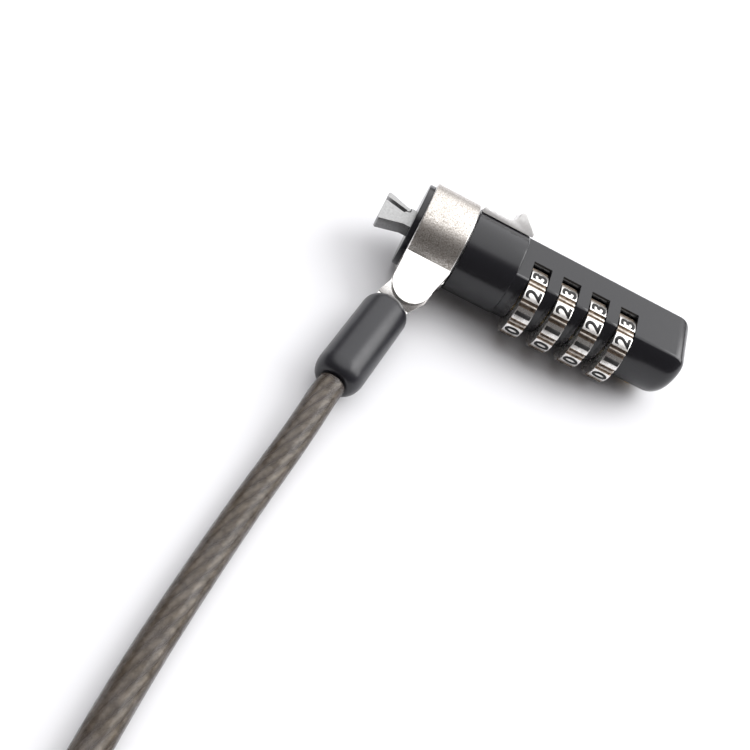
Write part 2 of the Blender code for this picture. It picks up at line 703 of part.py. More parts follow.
# --- assembly ----------------------------------------------------------------------------------------
def main():
    clear_scene()
    black = finish("gloss_black", (0.012, 0.012, 0.014), 0.22, 0.0)
    nickel = finish("satin_nickel", (0.62, 0.59, 0.55), 0.34, 1.0)
    steel = finish("bright_steel", (0.66, 0.65, 0.63), 0.28, 1.0)
    zinc = finish("die_cast_zinc", (0.50, 0.50, 0.50), 0.45, 1.0)
    brass = finish("brass", (0.72, 0.55, 0.28), 0.35, 1.0)
    aluminium = finish("aluminium", (0.70, 0.70, 0.71), 0.40, 1.0)
    vinyl = finish("smoked_vinyl", (0.13, 0.10, 0.08), 0.35, 0.0)

    cutters = hollows()
    housings(black, cutters)
    screws(steel)
    reset_selector(brass)
    nose_disc(black)
    core_block(zinc)
    fixed_anchor(steel)
    moving_jaw(steel)
    slide = pivot("slide_axis", spot(0, 0, 0))
    hang(slide, thumb_slider(nickel), slide_yoke(zinc), draw_bar(steel), spindle(steel))
    return_spring(steel)
    dials(nickel, brass)
    detent_spring(steel)
    swivel = pivot("swivel_axis", spot(0, 0, 0))
    hang(swivel, swivel_collar(nickel), ear_rivet(steel))

    turn = cable_turn()
    bend = pivot("terminal_axis", ear_place(RIVET_X, RIVET_L, 0))
    ends = [cable_terminal(steel), crimp_ferrule(aluminium), cable_boot(black)]
    for end in ends:
        end.data.transform(turn)
    for name in ("terminal_tail", "cut_terminal_eye", "cut_boot_bore", "cut_boot_mouth"):
        bpy.data.objects[name].data.transform(turn)
    hang(bend, *ends)
    cable_run(vinyl, turn)
    cable_coil(vinyl)
    cable_tail(vinyl)
    end_loop(vinyl)
    loop_ferrule(aluminium)


main()
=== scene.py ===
# %% [markdown]
# # A combination cable lock for a laptop
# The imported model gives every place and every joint. This lesson dresses it: smooth skins for the
# pieces that show, a material for every surface, and the cable with the rope inside its sheath.

import bmesh
import bpy
from math import acos, atan2, cos, pi, radians, sin, tau
from mathutils import Matrix, Vector
from mathutils.geometry import interpolate_bezier


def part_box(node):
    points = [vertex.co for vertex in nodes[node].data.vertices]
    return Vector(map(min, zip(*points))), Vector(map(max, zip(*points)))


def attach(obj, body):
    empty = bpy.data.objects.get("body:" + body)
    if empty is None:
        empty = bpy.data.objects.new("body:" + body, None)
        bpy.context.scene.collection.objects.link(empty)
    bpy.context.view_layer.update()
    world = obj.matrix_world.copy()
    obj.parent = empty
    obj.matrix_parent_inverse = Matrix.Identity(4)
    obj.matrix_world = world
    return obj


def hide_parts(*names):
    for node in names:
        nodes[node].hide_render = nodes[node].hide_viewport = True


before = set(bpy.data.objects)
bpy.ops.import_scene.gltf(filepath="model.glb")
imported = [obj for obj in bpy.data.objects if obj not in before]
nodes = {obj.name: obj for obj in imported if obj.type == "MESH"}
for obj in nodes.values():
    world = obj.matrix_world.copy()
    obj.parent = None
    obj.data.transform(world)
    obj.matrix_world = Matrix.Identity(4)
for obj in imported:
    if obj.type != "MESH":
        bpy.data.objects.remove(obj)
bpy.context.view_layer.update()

# %% [markdown]
# The main measures come from the model's own pieces: the nose disc gives the lock's long axis, and the
# dials give the shaft that they turn on. Shapes that a box can't give, such as the flat top's height,
# are named values. Inside the lock a place is x along the axis, w towards the cable, and v above the
# axis, so a piece can be drawn without thinking of where the lock lies.


# %% Places from the model
def middle(node):
    low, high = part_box(node)
    return (Vector(low) + Vector(high)) / 2


def extent(node, axis):
    low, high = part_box(node)
    return low[axis], high[axis]


LOCK_AXIS = middle("nose_disc")
AXIS_Y, AXIS_Z = LOCK_AXIS.y, LOCK_AXIS.z
COLLAR_R = AXIS_Z
NOSE_R = (extent("nose_disc", 2)[1] - extent("nose_disc", 2)[0]) / 2
DIALS = [middle(f"dial_{i}") for i in range(1, 5)]
DIAL_R = (extent("dial_1", 2)[1] - extent("dial_1", 2)[0]) / 2
DIAL_WIDTH = extent("dial_1", 0)[1] - extent("dial_1", 0)[0]
DIAL_W, DIAL_V = AXIS_Y - DIALS[0].y, DIALS[0].z - AXIS_Z
FRONT_X, REAR_X = extent("upper_housing", 0)
STEP_X = -0.0045
BARREL_R, BODY_R, FLAT_V, SEAM_V = 0.0079, 0.0077, 0.00575, -0.0038


def spot(x, w, v):
    return Vector((x, AXIS_Y - w, AXIS_Z + v))


print(f"axis at y {AXIS_Y:.4f}, z {AXIS_Z:.4f}; dial radius {DIAL_R:.5f}, width {DIAL_WIDTH:.4f}")

# %% [markdown]
# ## The camera
# The lock is looked down on from its cable side, about 50 degrees down, and the camera is rolled so
# that the lock runs downhill across the frame. Euler angles would need three numbers that are hard to
# picture. A look direction and a right-hand direction are easier, and together they make the matrix.

# %% Camera
CAMERA_PLACE = Vector((-0.0296, -0.1167 + AXIS_Y, 0.1170))
LOOK = Vector((0.0711, 0.6009, -0.7961)).normalized()
RIGHT = Vector((0.8907, 0.3209, 0.3218))
RIGHT = (RIGHT - LOOK * RIGHT.dot(LOOK)).normalized()
UP = RIGHT.cross(LOOK)

lens = bpy.data.cameras.new("camera")
lens.lens = 40.8
lens.sensor_width = 36.0
lens.clip_start = 0.005
camera = bpy.data.objects.new("camera", lens)
turn = Matrix((RIGHT, UP, -LOOK)).transposed().to_4x4()
camera.matrix_world = Matrix.Translation(CAMERA_PLACE) @ turn
bpy.context.scene.collection.objects.link(camera)
bpy.context.scene.camera = camera
print("camera", [round(a, 4) for a in camera.location], "lens", lens.lens)

# %% [markdown]
# ## Helpers for the pieces
# A lathe, an extruder and a finishing step make nearly every piece. The lathe spins a line of points
# with `bmesh.ops.spin` and closes the two end rings. The extruder pulls one face along a line, which
# suits pieces that are cast or punched to one section. Holes are cut afterwards with a Boolean
# modifier, because a spin or an extrusion alone can't leave a window in a wall.


# %% Lathe and extruder
def spun(rim, centre, axis, steps):
    bm = bmesh.new()
    verts = [bm.verts.new(place) for place in rim]
    edges = [bm.edges.new(pair) for pair in zip(verts, verts[1:])]
    bmesh.ops.spin(
        bm, geom=verts + edges, cent=centre, axis=axis, angle=tau, steps=steps,
        use_merge=True, use_duplicate=False,
    )
    bmesh.ops.remove_doubles(bm, verts=bm.verts, dist=1e-7)
    bmesh.ops.holes_fill(bm, edges=[edge for edge in bm.edges if edge.is_boundary], sides=0)
    return bm


def turned(profile, w=0.0, v=0.0, steps=96):
    rim = [spot(x, w - radius, v) for x, radius in profile]
    return spun(rim, spot(0, w, v), (1, 0, 0), steps)


def prism(outline, lift, low, high):
    bm = bmesh.new()
    face = bm.faces.new([bm.verts.new(lift(a, b, low)) for a, b in outline])
    made = bmesh.ops.extrude_face_region(bm, geom=[face])
    moved = [part for part in made["geom"] if isinstance(part, bmesh.types.BMVert)]
    bmesh.ops.translate(bm, verts=moved, vec=lift(0, 0, high) - lift(0, 0, low))
    return bm


def along_x(a, b, c):
    return spot(c, a, b)


def arc(centre_a, centre_b, radius, start, end, steps):
    turns = [start + (end - start) * i / steps for i in range(steps + 1)]
    return [(centre_a + radius * cos(t), centre_b + radius * sin(t)) for t in turns]


def rod(x_low, x_high, radius, w=0.0, v=0.0, steps=96):
    return prism(arc(w, v, radius, 0, tau * (steps - 1) / steps, steps - 1), along_x, x_low, x_high)


def block(x_range, w_range, v_range):
    (low, high), (bottom, top) = w_range, v_range
    return prism([(low, bottom), (high, bottom), (high, top), (low, top)], along_x, *x_range)


# %% Bevel, shape and settle
def rounded(bm, edges, width, segments=2):
    bmesh.ops.bevel(
        bm, geom=edges, offset=width, segments=segments, profile=0.5, affect="EDGES", material=-1,
        clamp_overlap=True,
    )
    return bm


def sharp_edges(bm, angle=35):
    bmesh.ops.recalc_face_normals(bm, faces=bm.faces)
    return [e for e in bm.edges if len(e.link_faces) == 2 and e.calc_face_angle() > radians(angle)]


def solid(name, bm):
    bmesh.ops.remove_doubles(bm, verts=bm.verts, dist=1e-7)
    bmesh.ops.recalc_face_normals(bm, faces=bm.faces)
    mesh = bpy.data.meshes.new(name)
    bm.to_mesh(mesh)
    bm.free()
    thing = bpy.data.objects.new(name, mesh)
    bpy.context.scene.collection.objects.link(thing)
    return thing


def shaped(thing, others=(), operation="DIFFERENCE", edge=0.0):
    """Cuts or joins the other solids, rounds the sharp edges, and applies it all."""
    for other in others:
        change = thing.modifiers.new("shape", "BOOLEAN")
        change.operation = operation
        change.solver = "EXACT"
        change.object = other
    if edge:
        round_off = thing.modifiers.new("edges", "BEVEL")
        round_off.width = edge
        round_off.segments = 2
        round_off.limit_method = "ANGLE"
        round_off.angle_limit = radians(40)
    bpy.context.view_layer.update()
    graph = bpy.context.evaluated_depsgraph_get()
    done = bpy.data.meshes.new_from_object(thing.evaluated_get(graph))
    thing.modifiers.clear()
    thing.data = done
    for other in others:
        bpy.data.objects.remove(other, do_unlink=True)
    return thing


def settle(thing, body, materials, stands_for=(), smooth=32):
    """Gives the piece its materials and shading, and puts it on its body. Level faces stay flat."""
    thing.data.materials.clear()
    for material in materials:
        thing.data.materials.append(material)
    thing.data.shade_smooth()
    thing.data.set_sharp_from_angle(angle=radians(smooth))
    for face in thing.data.polygons:
        if abs(face.normal.z) > 0.99995:
            face.use_smooth = False
    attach(thing, body)
    if stands_for:
        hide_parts(*stands_for)
    print(thing.name, len(thing.data.polygons), "faces on", body)
    return thing


# %% [markdown]
# ## Finishes
# Each finish is a small node tree. Noise in Object coordinates varies the roughness and lifts the
# surface a few microns, so no surface is one flat colour. Object coordinates need no unwrapping, and
# the pattern keeps one scale on every piece. The black plastics differ only in their gloss. The metals
# share one recipe: plating, blasting and casting differ in grain size, height and contrast.


# %% Material helpers
def new_finish(name, colour, roughness, metallic=0.0):
    made = bpy.data.materials.new(name)
    made.use_nodes = True
    tree = made.node_tree
    shader = tree.nodes["Principled BSDF"]
    shader.inputs["Base Color"].default_value = (*colour, 1.0)
    shader.inputs["Roughness"].default_value = roughness
    shader.inputs["Metallic"].default_value = metallic
    return made, tree, shader


def noise(tree, scale, detail=3.0, stretch=(1, 1, 1)):
    place = tree.nodes.new("ShaderNodeTexCoord")
    size = tree.nodes.new("ShaderNodeMapping")
    size.inputs["Scale"].default_value = stretch
    grain = tree.nodes.new("ShaderNodeTexNoise")
    grain.inputs["Scale"].default_value = scale
    grain.inputs["Detail"].default_value = detail
    tree.links.new(place.outputs["Object"], size.inputs["Vector"])
    tree.links.new(size.outputs["Vector"], grain.inputs["Vector"])
    return grain.outputs["Fac"]


def spread(tree, value, low, high, start=0.3, end=0.7):
    ranged = tree.nodes.new("ShaderNodeMapRange")
    ranged.inputs["From Min"].default_value = start
    ranged.inputs["From Max"].default_value = end
    ranged.inputs["To Min"].default_value = low
    ranged.inputs["To Max"].default_value = high
    tree.links.new(value, ranged.inputs["Value"])
    return ranged.outputs["Result"]


def ramp(tree, value, stops):
    colours = tree.nodes.new("ShaderNodeValToRGB")
    points = colours.color_ramp.elements
    while len(points) < len(stops):
        points.new(0.5)
    for point, (where, colour) in zip(points, stops):
        point.position = where
        point.color = (*colour, 1.0)
    tree.links.new(value, colours.inputs["Fac"])
    return colours.outputs["Color"]


def lift_surface(tree, shader, value, height, strength=1.0):
    bump = tree.nodes.new("ShaderNodeBump")
    bump.inputs["Strength"].default_value = strength
    bump.inputs["Distance"].default_value = height
    tree.links.new(value, bump.inputs["Height"])
    tree.links.new(bump.outputs["Normal"], shader.inputs["Normal"])


# %% Gloss black
def moulded_black(name, colour, dull, shiny):
    """Moulded black plastic, with a faint orange-peel and slightly uneven gloss."""
    made, tree, shader = new_finish(name, colour, dull)
    tree.links.new(spread(tree, noise(tree, 900, 4), shiny, dull), shader.inputs["Roughness"])
    lift_surface(tree, shader, noise(tree, 1500, 2), 0.000002, 0.5)
    return made


# %% Metals
def metal(name, dark, light, roughness, grain, height, stretch=(1, 1, 1), share=1.0):
    """A metal whose colour and roughness both follow one grain."""
    made, tree, shader = new_finish(name, light, roughness[0], share)
    fine = noise(tree, grain, 4, stretch)
    tree.links.new(ramp(tree, fine, ((0.32, dark), (0.66, light))), shader.inputs["Base Color"])
    tree.links.new(spread(tree, fine, roughness[1], roughness[0]), shader.inputs["Roughness"])
    lift_surface(tree, shader, fine, height, 0.6)
    return made


BLACK = moulded_black("gloss_black", (0.011, 0.011, 0.014), 0.23, 0.17)
BOOT_BLACK = moulded_black("boot_black", (0.013, 0.013, 0.017), 0.34, 0.28)
POLISHED = metal("polished_nickel", (0.80, 0.79, 0.77), (0.90, 0.89, 0.87), (0.10, 0.20), 300, 0.000004)
BLASTED = metal("blasted_nickel", (0.27, 0.235, 0.20), (0.84, 0.81, 0.77), (0.24, 0.44), 5200, 0.000036)
ANCHOR = metal("anchor_steel", (0.30, 0.30, 0.30), (0.37, 0.37, 0.37), (0.30, 0.42), 2400, 0.000005)
PEARL = metal("pearl_nickel", (0.74, 0.73, 0.72), (0.86, 0.85, 0.84), (0.28, 0.40), 1500, 0.000004, share=0.3)
SATIN = metal("satin_nickel", (0.60, 0.58, 0.56), (0.80, 0.79, 0.77), (0.18, 0.32), 1500, 0.000006)
STEEL = metal("bright_steel", (0.46, 0.45, 0.44), (0.72, 0.71, 0.70), (0.22, 0.36), 900, 0.000006, (1, 8, 8))
# The two groove metals are painted shade: the darker one for the deep groove floors, the lighter one for the
# shallow ribs.
PAINTED_GROOVE_SHADE = metal("dial_groove_painted_shade", (0.10, 0.075, 0.055), (0.30, 0.24, 0.19), (0.30, 0.45), 1600, 0.000010)
PAINTED_RIB_SHADE = metal("groove_rib_painted_shade", (0.34, 0.30, 0.26), (0.60, 0.56, 0.52), (0.30, 0.45), 1600, 0.000008)
DIAL_FACE = metal("dial_face", (0.74, 0.72, 0.69), (0.90, 0.89, 0.87), (0.22, 0.34), 1500, 0.000004)
ZINC = metal("die_cast_zinc", (0.34, 0.34, 0.35), (0.55, 0.55, 0.56), (0.42, 0.60), 1400, 0.000020)
BRASS = metal("turned_brass", (0.50, 0.36, 0.16), (0.78, 0.60, 0.31), (0.24, 0.38), 1100, 0.000006)
ALUMINIUM = metal("pressed_aluminium", (0.55, 0.55, 0.56), (0.78, 0.78, 0.79), (0.30, 0.46), 1300, 0.000010)
ROPE = metal("rope_wire", (0.07, 0.055, 0.030), (0.36, 0.31, 0.24), (0.36, 0.52), 620, 0.000006)
print("metals:", [m.name for m in (POLISHED, BLASTED, SATIN, STEEL, PAINTED_GROOVE_SHADE, ZINC, BRASS, ALUMINIUM, ROPE)])


# %% Ink and sheath
def ink():
    made, tree, shader = new_finish("digit_ink", (0.012, 0.011, 0.011), 0.42)
    tree.links.new(spread(tree, noise(tree, 2400, 3), 0.55, 0.70), shader.inputs["Roughness"])
    return made


def smoked_vinyl():
    """The sheath is see-through, so the wires under it show with their own shine."""
    made, tree, shader = new_finish("smoked_vinyl", (0.08, 0.065, 0.055), 0.25)
    shader.inputs["Alpha"].default_value = 0.62
    smoke = noise(tree, 260, 3)
    tint = ramp(tree, smoke, ((0.35, (0.060, 0.044, 0.034)), (0.65, (0.095, 0.080, 0.074))))
    tree.links.new(tint, shader.inputs["Base Color"])
    return made


INK = ink()
VINYL = smoked_vinyl()
print("sheath alpha", VINYL.node_tree.nodes["Principled BSDF"].inputs["Alpha"].default_value)

# %% [markdown]
# ## The cable
# The real cable is a steel rope in a clear, smoky sheath. Here it is one line: out of the boot, down to
# the table, away from the camera's view, round a neat coil of three layers, and over the top of it to
# the crimped eye. Its length is about 1.7 m, and the eye takes the rest of the 1.8 m. A curve with a
# round bevel makes the sheath, because a curve keeps one thickness round every bend. The rope could be
# a bump pattern, but real strands under a see-through sheath catch the light as wires do.

# %% The cable's route
CABLE_R = 0.00245
ROPE_PITCH = 0.027
ROUTE_STEP = 0.003
BOOT_X, BOOT_Z = -0.0211, 0.00436
BOOT_W = (0.0164, 0.0377)
EAR_TILT = radians(25)
RIVET_X, RIVET_L = -0.0201, 0.0050
CREASE_W, CREASE_V = 0.00844, 0.0021
COIL = middle("cable_coil")
COIL_MEAN_R, LAYER = 0.0280, 0.0049
LYING_Z = 0.00246
COIL_TOP, TOP_GAP = 0.0147, 0.0003
TOP_Z = COIL_TOP + TOP_GAP + CABLE_R
RUN = (
    (-0.02645, -0.0450, 0.00392), (-0.02735, -0.0515, 0.00312), (-0.02880, -0.0610, 0.00252),
    (-0.02990, -0.0695, 0.00246), (-0.03090, -0.0780, 0.00246), (-0.03170, -0.0860, 0.00246),
    (-0.03230, -0.0940, 0.00246), (-0.03265, -0.1020, 0.00246), (-0.03270, -0.1100, 0.00246),
    (-0.03250, -0.1168, 0.00246),
)
TAIL = (
    (-0.0317, 0.0060), (-0.0322, 0.0000), (-0.0314, -0.0060), (-0.0288, -0.0112), (-0.0250, -0.0147),
    (-0.0216, -0.0162), (-0.0190, -0.0165),
)
CLIMB = (
    (-0.0140, 0.0186, 0.0140), (-0.0183, 0.0156, 0.0164), (-0.0223, 0.0125, TOP_Z),
    (-0.0272, 0.0098, TOP_Z),
)


def ear_place(x, along, depth):
    """A place on the ear: along it from the crease, and above its top face."""
    w = CREASE_W + along * cos(EAR_TILT) + depth * sin(EAR_TILT)
    v = CREASE_V - along * sin(EAR_TILT) + depth * cos(EAR_TILT)
    return spot(x, w, v)


def cable_turn(angle=radians(10.3)):
    centre = ear_place(RIVET_X, RIVET_L, 0)
    normal = ear_place(0, 0, 1) - ear_place(0, 0, 0)
    return Matrix.Translation(centre) @ Matrix.Rotation(-angle, 4, normal) @ Matrix.Translation(-centre)


TURN = cable_turn()


def smooth_line(route, spacing):
    """Points a fixed distance apart on a smooth curve through the route's points."""
    dense = []
    for i in range(len(route) - 1):
        before, start, end = route[max(i - 1, 0)], route[i], route[i + 1]
        after = route[min(i + 2, len(route) - 1)]
        reach = (end - start).length / 3
        lead = (end - before).normalized() * reach
        trail = (after - start).normalized() * reach
        dense += interpolate_bezier(start, start + lead, end - trail, end, 24)[:-1]
    dense.append(route[-1])
    total = sum((dense[i + 1] - dense[i]).length for i in range(len(dense) - 1))
    count = max(2, round(total / spacing))
    points, walked, target = [dense[0]], 0.0, total / count
    for i in range(len(dense) - 1):
        step = (dense[i + 1] - dense[i]).length
        while walked + step >= target * len(points) - 1e-9 and len(points) < count:
            t = (target * len(points) - walked) / step
            points.append(dense[i].lerp(dense[i + 1], t))
        walked += step
    return points + [dense[-1]]


# %% Coil turns
def coil_points(per_turn=40, last_share=0.82):
    """Three layers of three turns. Each steps to the next in its last fifth, and the last stops early."""
    inward = [COIL_MEAN_R + LAYER, COIL_MEAN_R, COIL_MEAN_R - LAYER]
    rings = [(radius, layer) for layer in range(3) for radius in (inward if layer != 1 else inward[::-1])]
    points = []
    for i, (radius, layer) in enumerate(rings):
        after = rings[min(i + 1, len(rings) - 1)]
        is_last = i == len(rings) - 1
        for k in range(round(per_turn * last_share) if is_last else per_turn):
            t = max(0.0, (k / per_turn - 0.80) / 0.20)
            ease = t * t * (3 - 2 * t)
            r = radius + (after[0] - radius) * ease
            z = LYING_Z + LAYER * (layer + (after[1] - layer) * ease)
            angle = pi + tau * k / per_turn
            points.append(Vector((COIL.x + r * cos(angle), COIL.y + r * sin(angle), z)))
    return points


def cable_points():
    start = TURN @ Vector((BOOT_X, AXIS_Y - BOOT_W[1] - 0.0003, BOOT_Z))
    lead = TURN @ Vector((BOOT_X, AXIS_Y - BOOT_W[1] - 0.0035, BOOT_Z))
    run = [start, lead] + [Vector((x, AXIS_Y + y, z)) for x, y, z in RUN]
    top = [Vector((COIL.x + x, COIL.y + y, TOP_Z)) for x, y in TAIL]
    coil = coil_points()
    climb = [Vector((COIL.x + x, COIL.y + y, z)) for x, y, z in CLIMB]
    near = smooth_line(run + coil[2:4], ROUTE_STEP)
    return near[:-1] + coil[3:-2] + smooth_line(coil[-2:] + climb + top, ROUTE_STEP)


CABLE = cable_points()


# %% Cable tubes
def line_object(name, lines, radius, sides, material):
    made = bpy.data.curves.new(name, "CURVE")
    made.dimensions = "3D"
    made.bevel_depth = radius
    made.bevel_resolution = sides
    made.use_fill_caps = True
    for points in lines:
        path = made.splines.new("POLY")
        path.points.add(len(points) - 1)
        for point, place in zip(path.points, points):
            point.co = (*place, 1.0)
        path.use_smooth = True
    made.materials.append(material)
    thing = bpy.data.objects.new(name, made)
    bpy.context.scene.collection.objects.link(thing)
    return thing


STRANDS, STRAND_RING, STRAND_R, STRAND_STEP = 7, 0.00164, 0.00074, 0.0024
HEART_R = 0.00115


def strands(points):
    """Lines that wind round the cable's own line, as a rope's strands do."""
    line = smooth_line(points[::2] + [points[-1]], STRAND_STEP)
    side = Vector((0, 0, 1)).cross(line[1] - line[0]).normalized()
    winding = [[] for strand in range(STRANDS)]
    travelled = 0.0
    for i, place in enumerate(line):
        ahead = line[min(i + 1, len(line) - 1)] - line[max(i - 1, 0)]
        ahead.normalize()
        side = (side - ahead * side.dot(ahead)).normalized()
        up = ahead.cross(side)
        for k in range(STRANDS):
            angle = tau * (travelled / ROPE_PITCH + k / STRANDS)
            winding[k].append(place + (side * cos(angle) + up * sin(angle)) * STRAND_RING)
        travelled += STRAND_STEP
    return winding


sheath = line_object("cable_sheath", [CABLE], CABLE_R, 5, VINYL)
core = line_object("rope_strands", strands(CABLE), STRAND_R, 1, ROPE)
heart = line_object("rope_heart", [CABLE[::2] + [CABLE[-1]]], HEART_R, 1, ROPE)
print("sheath with", STRANDS, "strands round a heart")

# %% [markdown]
# The eye at the far end is the same cable, bent round and pressed into an oval crimp. Its two legs
# mirror each other, so only one is written out, and an arc joins them.

# %% End eye
LOOP_Y, LOOP_START = -0.0165, -0.0035
EYE_LENGTH, EYE_HALF = 0.0310, 0.0125
LOOP_HALF = EYE_HALF - CABLE_R


def eye_points():
    """Both legs start side by side in the crimp, part, and meet in a round bow."""
    in_crimp = LOOP_START - 0.0100
    bend = LOOP_START + EYE_LENGTH - EYE_HALF
    upper = [
        (in_crimp, CABLE_R + 0.0001), (LOOP_START, CABLE_R + 0.0002), (LOOP_START + 0.0036, 0.0029),
        (LOOP_START + 0.0071, 0.0048), (LOOP_START + 0.0111, 0.0081),
    ]
    bow = arc(bend, 0, LOOP_HALF, radians(100), radians(-100), 16)
    places = upper + bow + [(x, -y) for x, y in reversed(upper)]
    return [Vector((COIL.x + x, COIL.y + LOOP_Y + y, TOP_Z)) for x, y in places]


EYE = smooth_line(eye_points(), 0.0025)
eye = line_object("eye_sheath", [EYE], CABLE_R, 5, VINYL)
eye_rope = line_object("eye_strands", strands(EYE), STRAND_R, 1, ROPE)
for piece in (core, heart, eye_rope):
    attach(piece, "cable")
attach(sheath, "cable")
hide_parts("cable_run", "cable_coil", "cable_tail")
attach(eye, "cable")
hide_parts("end_loop")
print("eye", round(sum((b - a).length for a, b in zip(EYE, EYE[1:])), 4), "m round")

# %% [markdown]
# ## Boot and crimp
# The boot is a black moulded capsule over the crimped end of the rope. A line of points, spun about
# the boot's own line, makes it. A stretched sphere would be quicker, but its straight side would bulge.
# The flat terminal that the ears hold is an extruded plate with a narrower tail joined to it.


# %% Boot
def quarter(steps):
    return [pi / 2 * i / steps for i in range(steps + 1)]


def along_boot(profile, steps=96):
    centre = Vector((BOOT_X, 0, BOOT_Z))
    rim = [centre + Vector((0, AXIS_Y - w, radius)) for w, radius in profile]
    bm = spun(rim, centre, (0, 1, 0), steps)
    bmesh.ops.transform(bm, verts=bm.verts, matrix=TURN)
    return bm


def boot_profile():
    """Half of the capsule's outline: a round front, a straight side and a round back."""
    low, high = BOOT_W
    dome, taper, thick, mouth = 0.0032, 0.0030, 0.0043, 0.0026
    front = [(low + dome * (1 - cos(t)), thick * sin(t)) for t in quarter(14)[1:]]
    back = [(high - taper * (1 - sin(t)), mouth + (thick - mouth) * cos(t)) for t in quarter(12)]
    return front + back


boot = solid("boot_capsule", along_boot(boot_profile()))
settle(boot, "cable", [BOOT_BLACK], ["cable_boot"], 50)
nodes["crimp_ferrule"].data.materials.clear()
nodes["crimp_ferrule"].data.materials.append(ALUMINIUM)


# %% Terminal and end crimp
def terminal_solid():
    half, mid, thick = 0.0037, 0.0025, 0.0014
    outline = arc(RIVET_X, RIVET_L, half, pi, tau, 32)
    outline += [
        (RIVET_X + half, RIVET_L + 0.0016), (BOOT_X + 0.0033, RIVET_L + 0.0044),
        (BOOT_X - 0.0033, RIVET_L + 0.0044), (RIVET_X - half, RIVET_L + 0.0016),
    ]
    plate = solid("terminal_plate", prism(outline, ear_place, -mid + thick / 2, -mid - thick / 2))
    level = BOOT_Z - AXIS_Z
    tail_v = (level - thick / 2, level + thick / 2)
    tail = block((BOOT_X - 0.0032, BOOT_X + 0.0032), (0.0152, 0.0203), tail_v)
    shaped(plate, [solid("tail", tail)], "UNION", 0.00012)
    plate.data.transform(TURN)
    return plate


terminal = settle(terminal_solid(), "cable", [SATIN], ["cable_terminal"])


CRIMP_END = -0.0181


def crimp_solid():
    half_y, half_z = 0.0054, 0.0029
    corner = half_y - half_z
    outline = arc(corner, 0, half_z, -pi / 2, pi / 2, 20) + arc(-corner, 0, half_z, pi / 2, 1.5 * pi, 20)
    bm = prism(
        outline,
        lambda a, b, c: Vector((COIL.x + c, COIL.y + LOOP_Y + a, TOP_Z + half_z - CABLE_R + b)),
        CRIMP_END, LOOP_START,
    )
    return rounded(bm, sharp_edges(bm, 60), 0.0005, 3)


crimp = settle(solid("end_crimp", crimp_solid()), "cable", [ALUMINIUM], ["loop_ferrule"])

# %% [markdown]
# ## The housing
# The rear body is a round bar with a flat top and a round rear corner, so it is a row of section
# rings with a skin bridged between them. The barrel in front is a lathe shape. They are joined, and
# the dials' slots are cut out, before the edges are rounded.


# %% Housing sections
REAR_ROUND, SIDE_SHARE = 0.0030, 0.85
HOUSING_EDGE = 0.00009
DIAL_GAP = 0.0002
SEAM_HALF = 0.00006


def body_ring(bm, x, inset):
    """One ring of the rear body's section, drawn in by the inset, with eased top corners."""
    radius, flat = BODY_R - inset * SIDE_SHARE, FLAT_V - inset
    ease = 0.0009 + inset * 0.5
    reach = acos((flat - ease) / (radius - ease))
    corner_w = (radius - ease) * sin(reach)
    section = arc(corner_w, flat - ease, ease, pi / 2, pi / 2 - reach, 8)
    section += arc(0, 0, radius, pi / 2 - reach, -1.5 * pi + reach, 90)[1:-1]
    section += arc(-corner_w, flat - ease, ease, pi / 2 + reach, pi / 2, 8)
    verts = [bm.verts.new(spot(x, w, v)) for w, v in section]
    return [bm.edges.new(pair) for pair in zip(verts, verts[1:] + verts[:1])]


def body_bar():
    """Rings of the section, bridged in turn. The last ones draw in along a round corner."""
    bm = bmesh.new()
    end = REAR_X - 0.0003
    corner = [(end - REAR_ROUND * (1 - sin(t)), REAR_ROUND * (1 - cos(t))) for t in quarter(10)]
    rings = [body_ring(bm, x, inset) for x, inset in [(STEP_X - 0.001, 0.0)] + corner]
    for ring, following in zip(rings, rings[1:]):
        bmesh.ops.bridge_loops(bm, edges=ring + following)
    bmesh.ops.holes_fill(bm, edges=[e for e in bm.edges if e.is_boundary], sides=0)
    return bm


def barrel():
    lip = 0.0004
    nose = arc(FRONT_X + lip / 2, BARREL_R - lip / 2, lip / 2, pi, pi / 2, 4)
    heel = arc(STEP_X - lip, BARREL_R - lip, lip, pi / 2, 0, 6)
    return turned(nose + heel, steps=160)


def bore():
    rest = (FRONT_X + 0.0031, STEP_X - 0.0007)
    wide, narrow = 0.0069, 0.0066
    profile = [(FRONT_X - 0.001, wide), (rest[0], wide), (rest[0], narrow), (rest[1], narrow)]
    return turned(profile, steps=96)


SLIDER_ANGLE = radians(137)


def slider_frame(x, across, out):
    spread_w = out * cos(SLIDER_ANGLE) - across * sin(SLIDER_ANGLE)
    spread_v = out * sin(SLIDER_ANGLE) + across * cos(SLIDER_ANGLE)
    return spot(x, spread_w, spread_v)


def slider_lift(a, b, c):
    return slider_frame(a, c, b)


def hollows():
    """The shaft tunnel and, for each dial, a round slot and the window over it."""
    made = [solid("bore", bore()), solid("tunnel", rod(-0.0055, 0.0284, 0.0028, DIAL_W, DIAL_V, 64))]
    half = DIAL_WIDTH / 2 + DIAL_GAP
    for dial in DIALS:
        made.append(solid("slot", rod(dial.x - half, dial.x + half, DIAL_R + 0.0003, DIAL_W, DIAL_V, 120)))
        made.append(solid("window", block((dial.x - half, dial.x + half), (0.0, DIAL_W), (0.0, 0.009))))
    return made


def half_housing(name, away_range):
    """The whole outside as one shell, and what to cut from it, with the other half first."""
    shell = shaped(solid(name, body_bar()), [solid("barrel", barrel())], "UNION")
    away = solid("away", block((-0.02, 0.04), (-0.02, 0.02), away_range))
    return shell, [away] + hollows()


upper, cuts = half_housing("housing_top", (-0.02, SEAM_V + SEAM_HALF))
slot_outline = [(-0.0112, 0.004), (-0.0047, 0.004), (-0.0047, 0.0095), (-0.0112, 0.0095)]
cuts.append(solid("slide_slot", prism(slot_outline, slider_lift, -0.0014, 0.0014)))
shaped(upper, cuts, edge=HOUSING_EDGE)
settle(upper, "lock_body", [BLACK], ["upper_housing"], 28)

# %% [markdown]
# The lower half is the same shell with the other part cut away. A flat keel is joined to it, for the
# lock to lie on, and it gets the holes for two screws and for the selector that resets the code.

